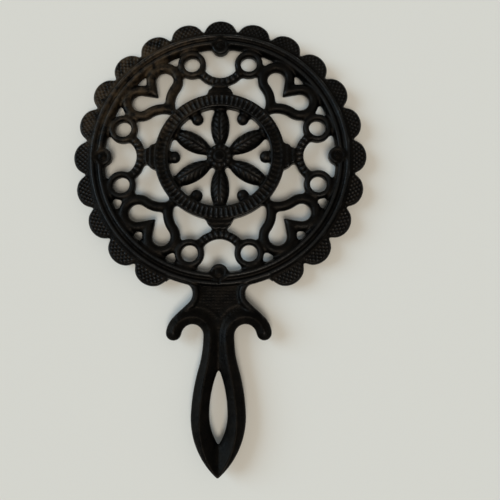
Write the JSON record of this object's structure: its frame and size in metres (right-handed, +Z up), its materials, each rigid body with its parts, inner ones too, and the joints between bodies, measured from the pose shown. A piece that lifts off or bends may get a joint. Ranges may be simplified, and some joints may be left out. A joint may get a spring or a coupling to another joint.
{
  "type": "hand trivet",
  "caption": "Cast-iron hand trivet: round openwork disc of hearts and rings inside a scalloped border, raised on peg feet, with a pointed loop handle to carry it by and hang it up.",
  "frame": {"origin": "centre of the bottom of the box around the trivet, on the surface that it stands on", "axes": "+Z up; the handle points along -Y; +X is to the right of someone who holds the handle and looks at the disc"},
  "size_m": [0.127, 0.1956, 0.0092],
  "materials": {
    "casting": "black, semi-matte, sand-cast grain",
    "feet": "black, semi-matte, sand-cast grain"
  },
  "bodies": {
    "root": {"centre_ring": "casting", "collar_east": "casting", "collar_north": "casting", "collar_south": "casting", "collar_west": "casting", "foot_boss_east": "casting", "foot_boss_north": "casting", "foot_boss_south": "casting", "foot_boss_west": "casting", "foot_east": "feet", "foot_north": "feet", "foot_south": "feet", "foot_west": "feet", "grip_strand_east": "casting", "grip_strand_west": "casting", "heart_north_east": "casting", "heart_north_west": "casting", "heart_south_east": "casting", "heart_south_west": "casting", "neck_bead_east": "casting", "neck_bead_west": "casting", "neck_plate": "casting", "reeded_arc_east": "casting", "reeded_arc_north": "casting", "reeded_arc_south": "casting", "reeded_arc_west": "casting", "rim": "casting", "ring_east_north_side": "casting", "ring_east_south_side": "casting", "ring_north_east_side": "casting", "ring_north_west_side": "casting", "ring_south_east_side": "casting", "ring_south_west_side": "casting", "ring_west_north_side": "casting", "ring_west_south_side": "casting", "rosette_berry_1": "casting", "rosette_berry_2": "casting", "rosette_berry_3": "casting", "rosette_berry_4": "casting", "rosette_berry_5": "casting", "rosette_berry_6": "casting", "rosette_hub": "casting", "rosette_petal_1": "casting", "rosette_petal_2": "casting", "rosette_petal_3": "casting", "rosette_petal_4": "casting", "rosette_petal_5": "casting", "rosette_petal_6": "casting", "scalloped_border": "casting", "scroll_east": "casting", "scroll_west": "casting"}
  },
  "joints": []
}
